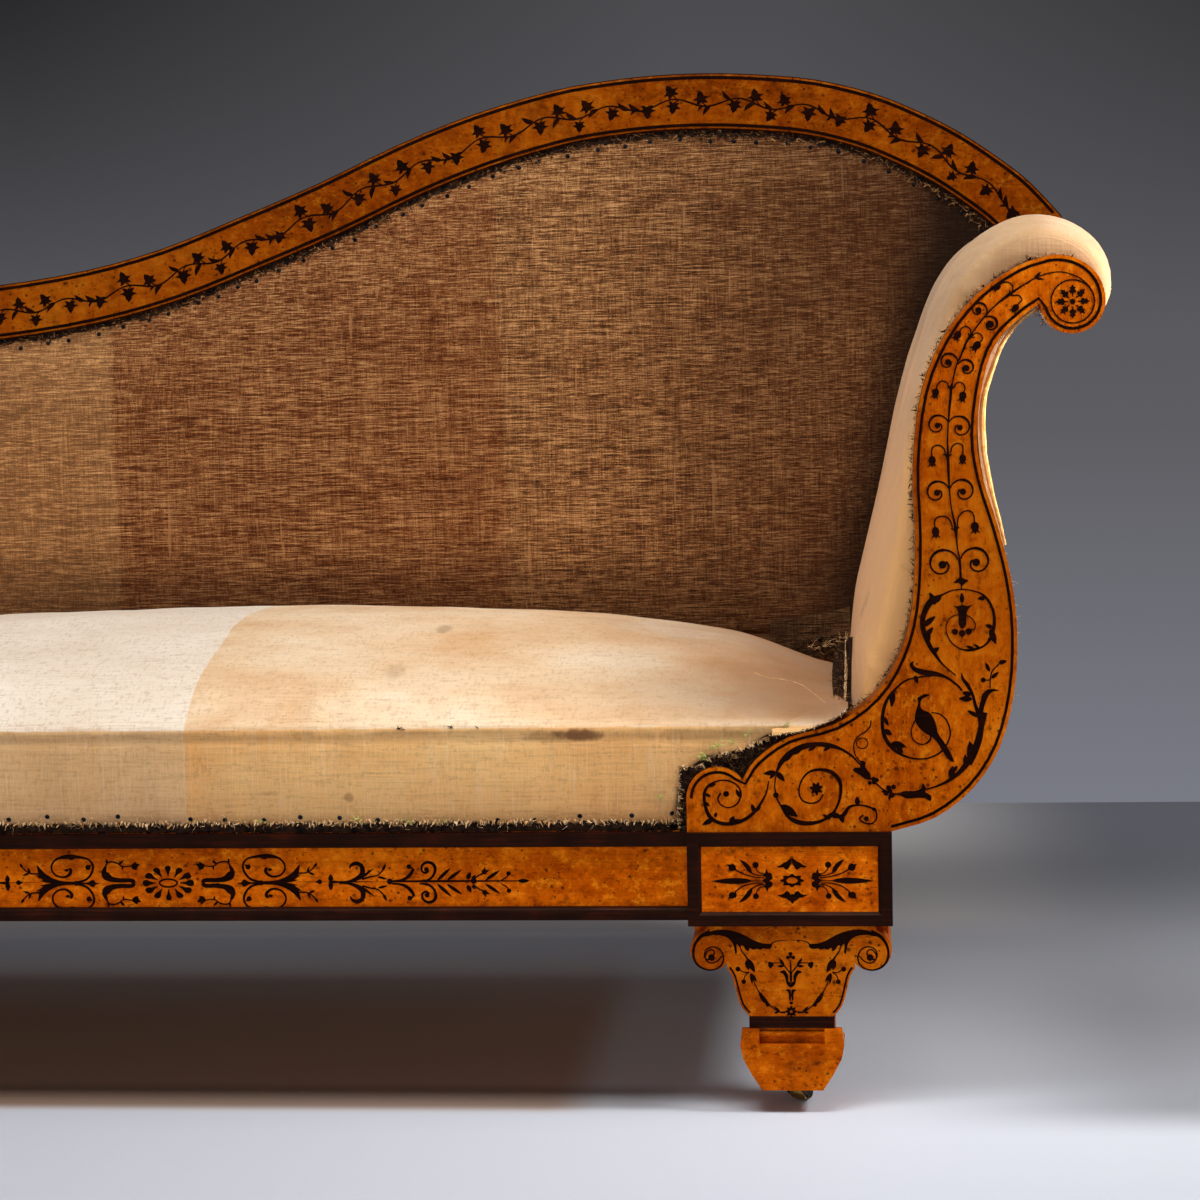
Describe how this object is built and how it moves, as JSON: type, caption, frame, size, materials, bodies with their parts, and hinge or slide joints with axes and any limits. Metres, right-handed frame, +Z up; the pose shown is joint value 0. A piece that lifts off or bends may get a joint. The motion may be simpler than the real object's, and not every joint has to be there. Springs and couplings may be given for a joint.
{
  "type": "meridienne",
  "caption": "Veneered daybed sofa with a tall scrolled head end, a lower scrolled foot end, a curved crest rail, volute legs on swivel casters and undone upholstery.",
  "frame": {"origin": "on the floor, under the centre of the bounding box", "axes": "+X along the length towards the tall head end, -Y towards the sitter's front, +Z up"},
  "size_m": [1.7356, 0.66, 0.9891],
  "materials": {
    "maple": "bird's-eye maple veneer, warm honey orange, french polished",
    "amaranth": "dark purplish brown hardwood, polished",
    "beech": "plain sawn and planed frame timber",
    "foot_wood": "maple veneer, worn and darker",
    "calico": "unbleached undercover cloth, matte, faintly creased",
    "canvas": "coarse brown linen canvas, matte",
    "webbing": "woven hemp strap, matte",
    "iron": "dark forged iron",
    "brass": "tarnished brass"
  },
  "bodies": {
    "frame": {"arm_front_board_left": "maple", "arm_front_board_right": "maple", "arm_outer_cover_left": "calico", "arm_outer_cover_right": "calico", "arm_pad_left": "calico", "arm_pad_right": "calico", "arm_rear_board_left": "beech", "arm_rear_board_right": "beech", "arm_roll_rail_left": "beech", "arm_roll_rail_right": "beech", "back_canvas": "canvas", "back_lower_rail": "beech", "back_muntin": "beech", "back_rear_cover": "canvas", "block_frame_front_left": "amaranth", "block_frame_front_right": "amaranth", "caster_plate_front_left": "iron", "caster_plate_front_right": "iron", "caster_plate_rear_left": "iron", "caster_plate_rear_right": "iron", "corner_block_front_left": "maple", "corner_block_front_right": "maple", "corner_block_rear_left": "maple", "corner_block_rear_right": "maple", "crest_rail": "maple", "end_rail_left": "maple", "end_rail_right": "maple", "foot_front_left": "foot_wood", "foot_front_right": "foot_wood", "foot_rear_left": "foot_wood", "foot_rear_right": "foot_wood", "front_rail": "maple", "front_rail_bottom_moulding": "amaranth", "front_rail_top_moulding": "amaranth", "leg_neck_front_left": "amaranth", "leg_neck_front_right": "amaranth", "leg_neck_rear_left": "amaranth", "leg_neck_rear_right": "amaranth", "leg_volute_front_left": "maple", "leg_volute_front_right": "maple", "leg_volute_rear_left": "maple", "leg_volute_rear_right": "maple", "rear_seat_rail": "beech", "seat_cross_brace": "beech", "seat_pad": "calico", "seat_webbing": "webbing"},
    "swivel_front_right": {"caster_horn_front_right": "iron", "caster_axle_front_right": "iron"},
    "roller_front_right": {"caster_wheel_front_right": "brass"},
    "swivel_front_left": {"caster_horn_front_left": "iron", "caster_axle_front_left": "iron"},
    "roller_front_left": {"caster_wheel_front_left": "brass"},
    "swivel_rear_right": {"caster_horn_rear_right": "iron", "caster_axle_rear_right": "iron"},
    "roller_rear_right": {"caster_wheel_rear_right": "brass"},
    "swivel_rear_left": {"caster_horn_rear_left": "iron", "caster_axle_rear_left": "iron"},
    "roller_rear_left": {"caster_wheel_rear_left": "brass"}
  },
  "joints": [
    {"name": "caster_swivel_front_right", "type": "hinge", "parent": "frame", "child": "swivel_front_right", "pos_m": [0.5695, -0.289, 0.02], "axis": [0, 0, 1], "continuous": true},
    {"name": "caster_roll_front_right", "type": "hinge", "parent": "swivel_front_right", "child": "roller_front_right", "pos_m": [0.5755, -0.27861, 0.008], "axis": [-0.866, 0.5, 0], "continuous": true},
    {"name": "caster_swivel_front_left", "type": "hinge", "parent": "frame", "child": "swivel_front_left", "pos_m": [-0.5695, -0.289, 0.02], "axis": [0, 0, 1], "continuous": true},
    {"name": "caster_roll_front_left", "type": "hinge", "parent": "swivel_front_left", "child": "roller_front_left", "pos_m": [-0.5635, -0.27861, 0.008], "axis": [-0.866, 0.5, 0], "continuous": true},
    {"name": "caster_swivel_rear_right", "type": "hinge", "parent": "frame", "child": "swivel_rear_right", "pos_m": [0.5695, 0.289, 0.02], "axis": [0, 0, 1], "continuous": true},
    {"name": "caster_roll_rear_right", "type": "hinge", "parent": "swivel_rear_right", "child": "roller_rear_right", "pos_m": [0.5755, 0.29939, 0.008], "axis": [-0.866, 0.5, 0], "continuous": true},
    {"name": "caster_swivel_rear_left", "type": "hinge", "parent": "frame", "child": "swivel_rear_left", "pos_m": [-0.5695, 0.289, 0.02], "axis": [0, 0, 1], "continuous": true},
    {"name": "caster_roll_rear_left", "type": "hinge", "parent": "swivel_rear_left", "child": "roller_rear_left", "pos_m": [-0.5635, 0.29939, 0.008], "axis": [-0.866, 0.5, 0], "continuous": true}
  ]
}
